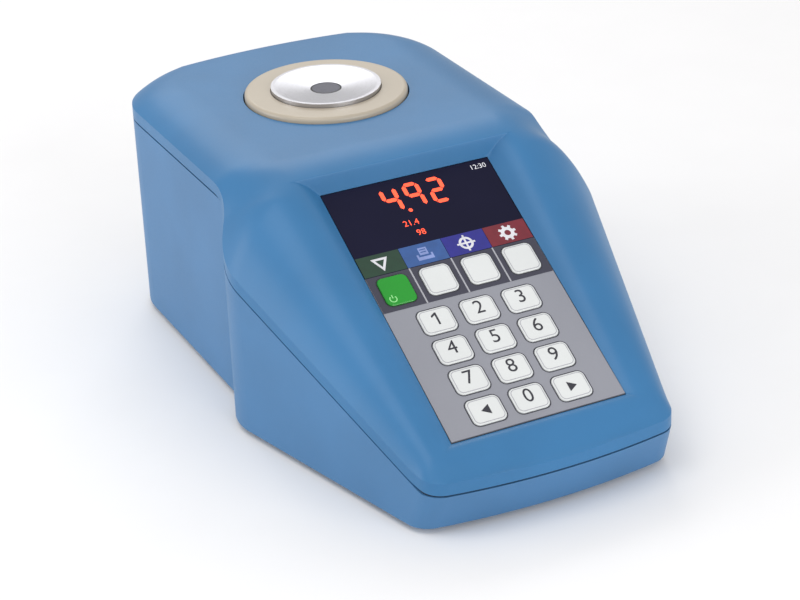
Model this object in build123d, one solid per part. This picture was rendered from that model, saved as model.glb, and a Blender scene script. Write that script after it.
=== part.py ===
from build123d import *
import math
import os

import numpy as np

# Bench refractometer. Millimetres, +Z up, the keypad faces -Y.
# The origin is the middle of the footprint, on the surface that the feet stand on.

# Case outline, seen from above
case_length = 295.0
rear_half_width = 77.5
front_half_width = 89.3
front_corner_y = -12.5
nose_half_width = 56.6
nose_bow = 5.6
rear_bow = 10.5
step_angle = 35.0
nose_corner_radius = 11.0
step_outer_radius = 28.0
step_inner_radius = 20.0
rear_corner_radius = 34.0

# Case heights and walls
foot_height = 3.0
case_floor = 3.0
case_wall = 3.0
top_z = 111.0
nose_top_z = 26.6
brow_y = -8.5
brow_blend = 16.0
nose_undercut = 7.8

# Parting line between base and cover, seen from the side
nose_seam_z = 21.0
rear_seam_z = 97.0
slope_start_y = -135.0
rise_start_y = -8.0
rise_end_y = 8.0
rise_start_z = 76.0
seam_radius = 9.0
seam_gap = 0.8
seam_inset = 0.9
skirt_height = 5.4

# Rolled shoulder of the cover
rear_shoulder = 25.4
step_shoulder = 32.0
nose_shoulder = 8.0
shoulder_round = 0.5
surface_step = 6.0
surface_fit = 0.5

# Control panel, laid in the sloping valley of the cover
panel_angle = 28.3
panel_y = -78.6
panel_z = 63.0
panel_width = 80.7
panel_up = 75.6
panel_down = 56.9
overlay_thickness = 1.0
panel_gap = 0.3
tray_floor = 2.5
tray_wall = 2.5
valley_angle = 41.0
valley_height = 30.0
display_height = 47.0

# Keys
key_columns = 3
key_rows = 4
key_pitch_x = 20.0
key_pitch_y = 15.7
key_width = 15.2
key_height = 12.4
soft_key_count = 4
soft_key_pitch = 19.8
soft_key_y = 19.6
soft_key_width = 14.0
soft_key_height = 14.6
key_corner = 2.8
key_proud = 0.6
key_edge = 0.3
key_gap = 0.25
key_travel = 0.5
key_play = 0.1
flange_width = 0.8
flange_thickness = 0.8
plunger_size = 5.0
dome_radius = 2.6
dome_height = 0.7
board_thickness = 1.6

# Measuring head on the flat top
head_y = 67.6
collar_radius = 37.5
collar_top_z = 113.6
collar_gap = 0.7
collar_edge = 1.8
dish_radius = 25.3
dish_gap = 0.3
dish_proud = 1.8
dish_rim = 1.6
dish_depth = 2.0
dish_thickness = 3.0
prism_radius = 6.4
seal_width = 0.8
prism_length = 14.0
prism_face_angle = 62.0

# Thermal stack and optics under the head
flange_radius = 41.0
flange_height = 4.5
seal_play = 0.1
block_width = 52.0
block_height = 24.0
collar_seat_drop = 9.1
beam_radius = 7.0
peltier_size = 24.0
peltier_height = 3.6
sink_width = 112.0
sink_depth = 88.0
sink_plate = 6.0
fin_count = 11
fin_thickness = 2.0
fin_height = 34.0
fin_span = 80.0
pillar_radius = 4.0
pillar_inset = 7.0
lamp_radius = 9.0
lamp_length = 16.0
barrel_radius = 11.0
barrel_length = 26.0
barrel_wall = 2.0
lens_thickness = 4.0
sensor_board_size = 34.0
sensor_length = 28.0
sensor_width = 8.0
sensor_height = 2.5

# Electronics
main_board_width = 110.0
main_board_depth = 74.0
main_board_y = -42.0
standoff_height = 7.0
standoff_radius = 3.0
standoff_inset = 6.0
lcd_margin = 1.3
lcd_body_margin = 2.0
lcd_body_thickness = 4.0

# Connectors on the back
plate_width = 92.0
plate_height = 30.0
plate_thickness = 1.5
plate_z = 32.0
plate_recess = 6.0
plate_pad = 4.0
plate_ledge = 3.0
jack_x = -30.0
serial_x = 0.0
usb_x = 30.0

# Fasteners and feet
boss_radius = 5.0
screw_radius = 1.5
head_radius = 2.9
head_height = 2.2
screw_clearance = 0.15
pilot_clearance = 0.05
screw_grip = 6.0
screw_bite = 8.0
rear_boss = (60.0, 121.0)
middle_boss = (65.0, 22.0)
nose_boss = (50.0, -116.0)
nose_boss_drop = 2.0
foot_radius = 8.0
foot_stud_radius = 3.0
foot_stud_height = 1.5
front_foot = (44.0, -118.0)
rear_foot = (60.0, 96.0)

# Values worked out from the sizes above
case_bottom_z = foot_height
half_length = case_length / 2
sin_panel = math.sin(math.radians(panel_angle))
cos_panel = math.cos(math.radians(panel_angle))
tan_panel = math.tan(math.radians(panel_angle))
floor_top_z = case_bottom_z + case_floor
taper = (front_half_width - nose_half_width) / (front_corner_y + half_length - nose_bow)
rear_start_y = front_corner_y + (front_half_width - rear_half_width) / math.tan(math.radians(step_angle))
slope_rise = (rise_start_z - nose_seam_z) / (rise_start_y - slope_start_y)
step_rise = (rear_seam_z - rise_start_z) / (rise_end_y - rise_start_y)
ridge_rise = (top_z - nose_top_z) / (brow_y + half_length)
roof_drop = case_wall / math.cos(math.radians(40.0))
panel_plane = Plane(origin=(0, panel_y, panel_z), x_dir=(1, 0, 0), z_dir=(0, -sin_panel, cos_panel))
board_top = -overlay_thickness - tray_floor
display_bottom = panel_up - display_height
collar_seat_z = collar_top_z - collar_seat_drop
block_bottom_z = collar_seat_z - flange_height - block_height
beam_z = block_bottom_z + block_height / 2
sink_top_z = block_bottom_z - peltier_height
sink_plate_z = sink_top_z - sink_plate
dish_bottom_z = collar_top_z + dish_proud - dish_depth - dish_thickness
back_face_y = half_length - plate_recess


def case_outline(nose_y, inset=0.0):
    """The plan of the case as a face at z = 0, with its nose at nose_y, shrunk by inset all round."""
    front_x = front_half_width
    nose_x = front_half_width - taper * (front_corner_y - (nose_y + nose_bow))
    rear_y = half_length - rear_bow
    right = [
        (nose_x, nose_y + nose_bow),
        (front_x, front_corner_y),
        (rear_half_width, rear_start_y),
        (rear_half_width, rear_y),
    ]
    left = [(-x, y) for x, y in reversed(right)]
    sides = Curve() + [Polyline(*right), Polyline(*left)]
    back = ThreePointArc(right[-1], (0, half_length), left[0])
    nose = ThreePointArc(left[-1], (0, nose_y), right[0])
    face = make_face(sides + back + nose)
    radii = {
        nose_corner_radius: (right[0], left[3]),
        step_outer_radius: (right[1], left[2]),
        step_inner_radius: (right[2], left[1]),
        rear_corner_radius: (right[3], left[0]),
    }
    for radius, corners in radii.items():
        for corner in corners:
            vertex = face.vertices().sort_by_distance(Vector(*corner))[0]
            face = fillet(vertex, radius)
    if inset:
        face = offset(face, -inset, kind=Kind.INTERSECTION)
    return face


def column(nose_y, low, high, inset=0.0):
    """An upright wall of the case's plan, between two heights."""
    return Pos(0, 0, low) * extrude(case_outline(nose_y, inset), high - low)


def ramp(distance, blend):
    """A straight rise that starts at 0, rounded over the blend on both sides."""
    if distance <= -blend:
        return 0.0
    if distance >= blend:
        return distance
    return (distance + blend) ** 2 / (4 * blend)


def ridge_z(y):
    """Height of the cover's spine: the slope up from the nose, then the flat top."""
    return nose_top_z + ridge_rise * (y + half_length - ramp(y - brow_y, brow_blend))


def crease_z(y):
    """Height of the crease where the upright skirt meets the rolled shoulder."""
    rise = slope_rise * ramp(y - slope_start_y, seam_radius)
    rise += (step_rise - slope_rise) * ramp(y - rise_start_y, seam_radius)
    rise -= step_rise * ramp(y - rise_end_y, seam_radius)
    return nose_seam_z + seam_gap + skirt_height + rise


def shoulder_width(y):
    """How far in from the wall the shoulder reaches, at a place along the case."""
    growth = (step_shoulder - nose_shoulder) / (front_corner_y - slope_start_y)
    fall = (step_shoulder - rear_shoulder) / (rear_start_y - front_corner_y)
    width = nose_shoulder + growth * ramp(y - slope_start_y, seam_radius)
    width -= (growth + fall) * ramp(y - front_corner_y, seam_radius)
    return width + fall * ramp(y - rear_start_y, seam_radius)


def shoulder_fall(share):
    """Part of the shoulder's drop left at a share of its width, from 1 at the wall to 0 at the spine."""
    full = 1 - math.sqrt(1 - shoulder_round)
    if share >= 1:
        return 0.0
    if share > -0.3:
        return (1 - math.sqrt(1 - shoulder_round * (1 - share) ** 2)) / full
    edge = 1.3
    root = math.sqrt(1 - shoulder_round * edge**2)
    return (1 - root + shoulder_round * edge * (-0.3 - share) / root) / full


def inward_distance(points):
    """Signed distance of each point from the case's plan, positive inside."""
    wire = case_outline(-half_length).wire()
    count = 720
    ring = np.array([tuple(wire.position_at(i / count))[:2] for i in range(count)])
    start, end = ring, np.roll(ring, -1, axis=0)
    along = end - start
    reach = points[:, None, :] - start[None, :, :]
    share = (reach * along).sum(2) / (along**2).sum(1)
    nearest = reach - np.clip(share, 0, 1)[:, :, None] * along
    distance = np.sqrt((nearest**2).sum(2)).min(1)
    crossing = (start[:, 1] > points[:, 1:2]) != (end[:, 1] > points[:, 1:2])
    safe = np.where(along[:, 1] == 0, 1e-9, along[:, 1])
    reach_x = start[:, 0] + along[:, 0] * (points[:, 1:2] - start[:, 1]) / safe
    inside = (crossing & (points[:, :1] < reach_x)).sum(1) % 2 == 1
    return np.where(inside, distance, -distance)


def crown_face():
    """The cover's outer skin as one smooth surface, wider than the case on every side."""
    reach_x = front_half_width + 2 * surface_step
    reach_y = half_length + 2 * surface_step
    xs = np.linspace(-reach_x, reach_x, 2 * round(reach_x / surface_step) + 1)
    ys = np.linspace(-reach_y, reach_y, 2 * round(reach_y / surface_step) + 1)
    grid = np.array([(x, y) for y in ys for x in xs])
    inward = inward_distance(grid).reshape(len(ys), len(xs))
    rows = []
    for row, y in enumerate(ys):
        spine = ridge_z(y)
        drop = max(spine - crease_z(y), 0.0)
        width = shoulder_width(y)
        heights = [spine - drop * shoulder_fall(inward[row, i] / width) for i in range(len(xs))]
        rows.append([Vector(x, y, z) for x, z in zip(xs, heights)])
    return Face.make_surface_from_array_of_points(rows, tol=surface_fit, min_deg=3, max_deg=3)


def seam_line(lift):
    """The parting line from the side, raised by lift, as a wire that runs past both ends of the case."""
    past = half_length + 2 * seam_radius
    points = [
        (0, -past, nose_seam_z + lift),
        (0, slope_start_y, nose_seam_z + lift),
        (0, rise_start_y, rise_start_z + lift),
        (0, rise_end_y, rear_seam_z + lift),
        (0, past, rear_seam_z + lift),
    ]
    return FilletPolyline(*points, radius=seam_radius)


def above_seam(lift):
    """Everything over the parting line, as one block wider than the case."""
    line = seam_line(lift)
    past = half_length + 2 * seam_radius
    roof = top_z + 2 * seam_radius
    closing = Polyline((0, past, rear_seam_z + lift), (0, past, roof), (0, -past, roof), (0, -past, nose_seam_z + lift))
    face = make_face(Curve() + [line, closing])
    half = front_half_width + 2 * seam_radius
    return Pos(-half, 0, 0) * extrude(face, 2 * half, dir=(1, 0, 0))


def panel_block(low, high, grow):
    """The panel's rectangle grown by grow, between two heights over the panel, with square sides."""
    width = panel_width + 2 * grow
    height = panel_up + panel_down + 2 * grow
    middle = (panel_up - panel_down) / 2
    return panel_plane * Pos(0, middle, low) * Box(width, height, high - low, align=(Align.CENTER, Align.CENTER, Align.MIN))


def valley_block(low, grow):
    """The valley over the panel: sides that lean out, and an upright back."""
    rise = valley_height - low
    spread = rise / math.tan(math.radians(valley_angle))
    back = rise * tan_panel
    sections = []
    for height, side, top in ((low, grow, grow), (valley_height, grow + spread, grow + back)):
        width = panel_width + 2 * side
        length = panel_up + top + panel_down + side
        middle = (panel_up + top - panel_down - side) / 2
        sections.append(panel_plane * Pos(0, middle, height) * Rectangle(width, length))
    return loft(sections, ruled=True)


def key_places():
    """Name, centre on the panel, width and height of every key."""
    places = []
    for i in range(soft_key_count):
        x = (i - (soft_key_count - 1) / 2) * soft_key_pitch
        name = "key_power" if i == 0 else f"key_soft_{i}"
        places.append((name, x, soft_key_y, soft_key_width, soft_key_height))
    names = ["1", "2", "3", "4", "5", "6", "7", "8", "9", "left", "0", "right"]
    for i, name in enumerate(names):
        x = (i % key_columns - (key_columns - 1) / 2) * key_pitch_x
        y = -(i // key_columns) * key_pitch_y
        places.append((f"key_{name}", x, y, key_width, key_height))
    return places


def key_block(place, low, high, grow):
    """A rounded rectangle of the key's plan, grown by grow, between two heights over the panel."""
    name, x, y, width, height = place
    plan = RectangleRounded(width + 2 * grow, height + 2 * grow, key_corner + grow)
    return panel_plane * Pos(x, y, low) * extrude(plan, high - low)


def upright(radius, low, high, x, y):
    """A plain upright cylinder."""
    return Pos(x, y, low) * Cylinder(radius, high - low, align=(Align.CENTER, Align.CENTER, Align.MIN))


def mirrored(place):
    """A place and its twin on the left side."""
    return [place, (-place[0], place[1])]


def boss_places():
    """x, y and joint height of every screw that holds the cover to the base."""
    places = []
    for x, y in mirrored(rear_boss) + mirrored(middle_boss):
        places.append((x, y, rear_seam_z))
    nose_z = nose_seam_z + slope_rise * (nose_boss[1] - slope_start_y) - nose_boss_drop
    for x, y in mirrored(nose_boss):
        places.append((x, y, nose_z))
    return places


def foot_places():
    return mirrored(front_foot) + mirrored(rear_foot)


def make_cover(crown):
    """The upper shell: crowned outside, valley for the panel, hole for the measuring head."""
    outer = column(-half_length, case_bottom_z, top_z + seam_gap) & crown
    cavity = column(-half_length, 0, top_z, case_wall) & (Pos(0, 0, -roof_drop) * crown)
    tray = valley_block(board_top, tray_wall)
    cavity -= tray
    cover = (outer - cavity) & above_seam(seam_gap)
    for x, y, z in boss_places():
        boss = upright(boss_radius, z + seam_gap, top_z, x, y)
        cover += boss & cavity & above_seam(seam_gap)
    cover -= valley_block(0, panel_gap)
    cover -= panel_block(-overlay_thickness, tray_wall, panel_gap)
    window_width = panel_width - 2 * lcd_margin
    window_height = display_height - 2 * lcd_margin
    window_y = panel_up - display_height / 2
    window = Box(window_width, window_height, 4 * tray_floor)
    cover -= panel_plane * Pos(0, window_y, -tray_floor) * window
    for place in key_places():
        cover -= key_block(place, board_top - tray_floor, 0, key_gap + flange_width + key_gap)
    cover -= upright(collar_radius + collar_gap, collar_seat_z, collar_top_z, 0, head_y)
    for x, y, z in boss_places():
        cover -= upright(screw_radius + pilot_clearance, 0, z + seam_gap + screw_bite + 1, x, y)
    return cover


def make_base():
    """The lower shell: floor, upright walls, undercut nose, screw bosses and the pad for the connectors."""
    low_plan = Pos(0, 0, case_bottom_z) * case_outline(-half_length + nose_undercut)
    seam_plan = Pos(0, 0, nose_seam_z) * case_outline(-half_length)
    outer = loft([low_plan, seam_plan], ruled=True) + column(-half_length, nose_seam_z, rear_seam_z)
    low_inner = Pos(0, 0, floor_top_z) * case_outline(-half_length + nose_undercut, case_wall)
    seam_inner = Pos(0, 0, nose_seam_z) * case_outline(-half_length, case_wall)
    inner = loft([low_inner, seam_inner], ruled=True)
    inner += column(-half_length, nose_seam_z, rear_seam_z + 1, case_wall)
    base = outer - inner
    pad_depth = plate_pad + plate_thickness + plate_recess
    pad = Box(
        plate_width + 2 * plate_ledge,
        pad_depth,
        plate_height + 2 * plate_ledge,
        align=(Align.CENTER, Align.MAX, Align.CENTER),
    )
    base += Pos(0, half_length, plate_z) * pad & inner
    for x, y, z in boss_places():
        base += upright(boss_radius, case_bottom_z, z, x, y)
    for x, y in standoff_places():
        base += upright(standoff_radius, case_bottom_z, floor_top_z + standoff_height, x, y)
    base -= above_seam(0)
    for x, y, z in boss_places():
        base -= upright(screw_radius + screw_clearance, 0, z + 1, x, y)
        base -= upright(head_radius + screw_clearance, 0, z - screw_grip, x, y)
    for x, y in foot_places():
        base -= upright(foot_stud_radius, 0, case_bottom_z + foot_stud_height, x, y)
    pocket = Box(plate_width + 2 * panel_gap, 4 * plate_pad, plate_height + 2 * panel_gap, align=(Align.CENTER, Align.MIN, Align.CENTER))
    base -= Pos(0, back_face_y - plate_thickness, plate_z) * pocket
    through = Box(plate_width - 2 * plate_ledge, 8 * plate_pad, plate_height - 2 * plate_ledge)
    base -= Pos(0, back_face_y, plate_z) * through
    return base


def make_gasket():
    """The seal that fills the parting line, set back from the outside so that it reads as a dark groove."""
    band = column(-half_length, case_bottom_z, top_z, seam_inset)
    band -= column(-half_length, case_bottom_z, top_z, case_wall)
    return band & above_seam(0) - above_seam(seam_gap)


def make_screw(place):
    x, y, z = place
    shank_bottom = z - screw_grip
    screw = upright(head_radius, shank_bottom - head_height, shank_bottom, x, y)
    return screw + upright(screw_radius, shank_bottom, z + seam_gap + screw_bite, x, y)


def make_foot(place):
    foot = upright(foot_radius, 0, foot_height, *place)
    foot = fillet(foot.edges().group_by(Axis.Z)[0], foot_height / 4)
    return foot + upright(foot_stud_radius, foot_height, foot_height + foot_stud_height, *place)


def panel_piece(low_y, high_y):
    """A flat piece of the panel between two places up the slope, as thick as the overlay."""
    middle = (low_y + high_y) / 2
    plate = Box(panel_width, high_y - low_y, overlay_thickness, align=(Align.CENTER, Align.CENTER, Align.MAX))
    return panel_plane * Pos(0, middle, 0) * plate


def make_overlay():
    overlay = panel_piece(-panel_down, display_bottom)
    for place in key_places():
        overlay -= key_block(place, -2 * overlay_thickness, overlay_thickness, key_gap)
    return overlay


def make_key(place):
    """A raised cap, the flange that keeps it under the overlay, and the plunger over its dome."""
    flange_top = -overlay_thickness - key_play
    cap = key_block(place, flange_top, key_proud, 0)
    top_edges = cap.faces().sort_by(Axis((0, 0, 0), tuple(panel_plane.z_dir)))[-1].edges()
    cap = chamfer(top_edges, key_edge)
    key = cap + key_block(place, flange_top - flange_thickness, flange_top, flange_width)
    dome_top = board_top + dome_height
    bottom = dome_top + key_travel + 2 * key_play
    plunger = Box(plunger_size, plunger_size, flange_top - bottom, align=(Align.CENTER, Align.CENTER, Align.MIN))
    return key + panel_plane * Pos(place[1], place[2], bottom) * plunger


def make_keypad_board():
    """The circuit board under the keys, against the underside of the tray."""
    low = -panel_down + tray_wall
    high = display_bottom - tray_wall
    board = Box(panel_width, high - low, board_thickness, align=(Align.CENTER, Align.CENTER, Align.MAX))
    return panel_plane * Pos(0, (low + high) / 2, board_top) * board


def make_domes():
    domes = []
    for name, x, y, width, height in key_places():
        cup = Cone(dome_radius, dome_radius / 2, dome_height, align=(Align.CENTER, Align.CENTER, Align.MIN))
        domes.append(panel_plane * Pos(x, y, board_top) * cup)
    return domes


def make_display():
    """The display module: its front stands in the tray's window, its body lies behind the tray."""
    window_y = panel_up - display_height / 2
    front_depth = tray_floor - key_play
    front = Box(
        panel_width - 2 * lcd_margin - 2 * panel_gap,
        display_height - 2 * lcd_margin - 2 * panel_gap,
        front_depth,
        align=(Align.CENTER, Align.CENTER, Align.MIN),
    )
    body = Box(panel_width, display_height + lcd_body_margin, lcd_body_thickness, align=(Align.CENTER, Align.CENTER, Align.MAX))
    module = Pos(0, window_y, board_top) * front + Pos(0, window_y + lcd_body_margin / 2, board_top) * body
    return panel_plane * module


def turned(points, x, y):
    """A solid turned about the upright axis at x, y from points of radius and height."""
    profile = make_face(Polyline(*[(r, 0, z) for r, z in points], close=True))
    return Pos(x, y, 0) * revolve(profile, Axis.Z)


def make_collar():
    """The insulating ring round the steel dish."""
    inner = dish_radius + dish_gap
    collar = turned(
        [(inner, collar_seat_z), (collar_radius, collar_seat_z), (collar_radius, collar_top_z), (inner, collar_top_z)],
        0,
        head_y,
    )
    rim = collar.edges().filter_by(GeomType.CIRCLE).group_by(Axis.Z)[-1].sort_by(SortBy.RADIUS)[-1]
    return fillet(rim, collar_edge)


def make_dish():
    """The polished steel dish: flat rim, shallow cone down to the prism."""
    rim_z = collar_top_z + dish_proud
    low_z = rim_z - dish_depth
    eye = prism_radius + seal_width
    return turned(
        [
            (eye, dish_bottom_z),
            (dish_radius, dish_bottom_z),
            (dish_radius, rim_z),
            (dish_radius - dish_rim, rim_z),
            (eye, low_z),
        ],
        0,
        head_y,
    )


def make_prism():
    """The measuring prism: a round head and a wedge whose two faces let the beam in and out."""
    top = collar_top_z + dish_proud - dish_depth
    prism = upright(prism_radius, top - prism_length, top, 0, head_y)
    lean = math.radians(90 - prism_face_angle)
    cut = Box(4 * prism_radius, prism_length, 3 * prism_length, align=(Align.CENTER, Align.MIN, Align.CENTER))
    for side in (-1, 1):
        turn = Rot(math.degrees(lean) * side, 0, 0)
        knife = Pos(0, side * prism_radius, top - prism_length / 3) * turn * (
            cut if side > 0 else Rot(0, 0, 180) * cut
        )
        prism -= Pos(0, head_y, 0) * knife & upright(2 * prism_radius, top - 2 * prism_length, top - prism_length / 3, 0, head_y)
    return prism


def make_prism_seal():
    top = collar_top_z + dish_proud - dish_depth
    return turned(
        [(prism_radius, dish_bottom_z), (prism_radius + seal_width, dish_bottom_z), (prism_radius + seal_width, top), (prism_radius, top)],
        0,
        head_y,
    )


def make_thermal_block():
    """The aluminium block that keeps dish and prism at one temperature, bored across for the beam."""
    block = Pos(0, head_y, block_bottom_z) * Box(
        block_width, block_width, block_height, align=(Align.CENTER, Align.CENTER, Align.MIN)
    )
    flange_bottom = block_bottom_z + block_height
    block += upright(flange_radius, flange_bottom, collar_seat_z, 0, head_y)
    block += upright(dish_radius - dish_gap, collar_seat_z, dish_bottom_z, 0, head_y)
    block -= upright(prism_radius + seal_width, beam_z, dish_bottom_z, 0, head_y)
    bore = Pos(0, head_y, beam_z) * Rot(90, 0, 0) * Cylinder(beam_radius, 2 * block_width)
    return block - bore


def make_head_seal():
    """The seal between the head's flange and the underside of the cover's roof."""
    top = top_z - roof_drop - seal_play
    inner = collar_radius + collar_gap
    return turned([(inner, collar_seat_z), (flange_radius, collar_seat_z), (flange_radius, top), (inner, top)], 0, head_y)


def make_peltiers():
    pads = []
    for side in (-1, 1):
        pad = Box(peltier_size, peltier_size, peltier_height, align=(Align.CENTER, Align.CENTER, Align.MIN))
        pads.append(Pos(side * block_width / 4, head_y, sink_top_z) * pad)
    return pads


def pillar_places():
    x = sink_width / 2 - pillar_inset
    y = sink_depth / 2 - pillar_inset
    return [(side * x, head_y + end * y) for side in (-1, 1) for end in (-1, 1)]


def make_heat_sink():
    """The finned heat sink that carries the head."""
    sink = Pos(0, head_y, sink_plate_z) * Box(sink_width, sink_depth, sink_plate, align=(Align.CENTER, Align.CENTER, Align.MIN))
    gap = fin_span / (fin_count - 1)
    for i in range(fin_count):
        x = -fin_span / 2 + i * gap
        fin = Box(fin_thickness, sink_depth, fin_height, align=(Align.CENTER, Align.CENTER, Align.MAX))
        sink += Pos(x, head_y, sink_plate_z) * fin
    for x, y in pillar_places():
        sink -= upright(screw_radius, sink_plate_z, sink_top_z, x, y)
    return sink


def make_pillars():
    return [upright(pillar_radius, floor_top_z, sink_plate_z, x, y) for x, y in pillar_places()]


def across(radius, start, end):
    """A cylinder along the beam, between two places in y."""
    return Pos(0, (start + end) / 2, beam_z) * Rot(90, 0, 0) * Cylinder(radius, abs(end - start))


def make_lamp():
    face_y = head_y - block_width / 2
    lamp = across(lamp_radius, face_y - lamp_length, face_y)
    return lamp + across(beam_radius / 2, face_y, face_y + lamp_length / 2)


def make_barrel():
    face_y = head_y + block_width / 2
    return across(barrel_radius, face_y, face_y + barrel_length) - across(
        barrel_radius - barrel_wall, face_y, face_y + barrel_length
    )


def make_lens():
    face_y = head_y + block_width / 2 + barrel_length / 2
    return across(barrel_radius - barrel_wall, face_y - lens_thickness / 2, face_y + lens_thickness / 2)


def make_sensor_board():
    y = head_y + block_width / 2 + barrel_length
    board = Box(sensor_board_size, board_thickness, sensor_board_size, align=(Align.CENTER, Align.MIN, Align.CENTER))
    return Pos(0, y, beam_z) * board


def make_sensor():
    y = head_y + block_width / 2 + barrel_length
    reach = 2 * (barrel_radius - barrel_wall) - 2 * key_play
    chip = Box(min(sensor_length, reach * 0.9), sensor_height, sensor_width, align=(Align.CENTER, Align.MAX, Align.CENTER))
    return Pos(0, y, beam_z) * chip


def standoff_places():
    x = main_board_width / 2 - standoff_inset
    y = main_board_depth / 2 - standoff_inset
    return [(side * x, main_board_y + end * y) for side in (-1, 1) for end in (-1, 1)]


def make_main_board():
    z = floor_top_z + standoff_height
    board = Box(main_board_width, main_board_depth, board_thickness, align=(Align.CENTER, Align.CENTER, Align.MIN))
    board = Pos(0, main_board_y, z) * board
    for x, y in standoff_places():
        board -= upright(screw_radius, z, z + board_thickness, x, y)
    return board


def make_board_screws():
    z = floor_top_z + standoff_height + board_thickness
    return [upright(head_radius, z, z + head_height, x, y) for x, y in standoff_places()]


def make_board_chips():
    """The larger components on the main board, as width, depth, height and place."""
    top = floor_top_z + standoff_height + board_thickness
    chips = [
        (20.0, 20.0, 2.5, -10.0, 6.0),
        (12.0, 8.0, 2.0, 22.0, 14.0),
        (10.0, 14.0, 9.0, -38.0, 10.0),
        (34.0, 6.0, 8.0, 20.0, -22.0),
        (12.0, 12.0, 14.0, -34.0, -16.0),
    ]
    pieces = []
    for width, depth, height, x, y in chips:
        chip = Box(width, depth, height, align=(Align.CENTER, Align.CENTER, Align.MIN))
        pieces.append(Pos(x, main_board_y + y, top) * chip)
    return pieces


def make_connector_plate():
    plate = Box(plate_width, plate_thickness, plate_height, align=(Align.CENTER, Align.MAX, Align.CENTER))
    plate = Pos(0, back_face_y, plate_z) * plate
    for x, width, height in port_sizes():
        plate -= Pos(x, back_face_y, plate_z) * Box(width, 4 * plate_thickness, height)
    return plate


def port_sizes():
    """Place and outer size of each port in the connector plate."""
    return [(jack_x, 11.0, 11.0), (serial_x, 31.0, 12.5), (usb_x, 12.0, 11.0)]


def port_body(index, depth, proud):
    x, width, height = port_sizes()[index]
    body = Box(width, depth + proud, height, align=(Align.CENTER, Align.MIN, Align.CENTER))
    return Pos(x, back_face_y - depth, plate_z) * body


def along_y(radius, x, start, end):
    return Pos(x, (start + end) / 2, plate_z) * Rot(90, 0, 0) * Cylinder(radius, end - start)


def make_power_inlet():
    """A low-voltage jack: square body, round mouth and centre pin."""
    body = port_body(0, 14.0, 0.5)
    face = back_face_y + 0.5
    body -= along_y(3.0, jack_x, face - 9.0, face)
    return body + along_y(1.0, jack_x, face - 9.0, face - 1.0)


def make_serial_port():
    """A nine-way socket with its two jack posts."""
    body = port_body(1, 12.0, 0.5)
    face = back_face_y + 0.5
    shell = Box(17.0, 5.0, 8.4, align=(Align.CENTER, Align.MIN, Align.CENTER))
    body += Pos(serial_x, face, plate_z) * shell
    for row, count in ((1, 5), (-1, 4)):
        for i in range(count):
            x = serial_x + (i - (count - 1) / 2) * 2.77
            hole = Pos(x, face + 5.0, plate_z + row * 1.42) * Rot(90, 0, 0) * Cylinder(0.5, 6.0)
            body -= hole
    for side in (-1, 1):
        body += along_y(2.4, serial_x + side * 12.5, face, face + 4.0)
    return body


def make_usb_port():
    """A square socket with its tongue."""
    body = port_body(2, 14.0, 0.5)
    face = back_face_y + 0.5
    mouth = Box(8.5, 8.0, 7.8, align=(Align.CENTER, Align.MAX, Align.CENTER))
    tongue = Box(5.6, 7.5, 3.2, align=(Align.CENTER, Align.MAX, Align.CENTER))
    body -= Pos(usb_x, face, plate_z) * mouth
    return body + Pos(usb_x, face - 0.5, plate_z) * tongue


def build_parts():
    crown = Solid.extrude(crown_face(), Vector(0, 0, -2 * top_z))
    parts = {
        "base_case": make_base(),
        "top_cover": make_cover(crown),
        "case_gasket": make_gasket(),
        "case_screws": [make_screw(place) for place in boss_places()],
        "rubber_feet": [make_foot(place) for place in foot_places()],
        "insulating_collar": make_collar(),
        "prism_dish": make_dish(),
        "prism": make_prism(),
        "prism_seal": make_prism_seal(),
        "head_seal": make_head_seal(),
        "thermal_block": make_thermal_block(),
        "peltier_modules": make_peltiers(),
        "heat_sink": make_heat_sink(),
        "chassis_pillars": make_pillars(),
        "light_source": make_lamp(),
        "lens_barrel": make_barrel(),
        "lens": make_lens(),
        "sensor_board": make_sensor_board(),
        "line_sensor": make_sensor(),
        "display_window": panel_piece(display_bottom, panel_up),
        "display_module": make_display(),
        "keypad_overlay": make_overlay(),
        "keypad_board": make_keypad_board(),
        "key_domes": make_domes(),
        "main_board": make_main_board(),
        "board_components": make_board_chips(),
        "board_screws": make_board_screws(),
        "connector_plate": make_connector_plate(),
        "power_inlet": make_power_inlet(),
        "serial_port": make_serial_port(),
        "usb_port": make_usb_port(),
    }
    for place in key_places():
        parts[place[0]] = make_key(place)
    return parts


os.makedirs("parts", exist_ok=True)
for node, shape in build_parts().items():
    solids = shape if isinstance(shape, list) else [shape]
    group = Compound(children=[solid for item in solids for solid in item.solids()])
    export_step(group, f"parts/{node}.step")
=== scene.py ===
import math

import bmesh
import bpy
import numpy as np
from mathutils import Matrix, Vector


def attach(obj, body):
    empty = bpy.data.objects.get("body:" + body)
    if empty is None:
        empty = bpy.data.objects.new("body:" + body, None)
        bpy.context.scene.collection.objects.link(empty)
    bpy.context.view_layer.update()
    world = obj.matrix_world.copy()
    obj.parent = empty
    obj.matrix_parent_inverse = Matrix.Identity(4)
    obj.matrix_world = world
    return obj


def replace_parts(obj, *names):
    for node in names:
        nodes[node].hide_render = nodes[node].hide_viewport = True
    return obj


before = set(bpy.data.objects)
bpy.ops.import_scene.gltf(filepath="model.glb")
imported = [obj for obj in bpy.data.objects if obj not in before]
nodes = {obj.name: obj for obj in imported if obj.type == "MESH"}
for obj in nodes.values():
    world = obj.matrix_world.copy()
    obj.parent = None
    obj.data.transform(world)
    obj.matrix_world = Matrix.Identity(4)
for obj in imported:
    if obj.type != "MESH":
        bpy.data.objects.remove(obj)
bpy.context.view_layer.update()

MM = 0.001

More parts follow.
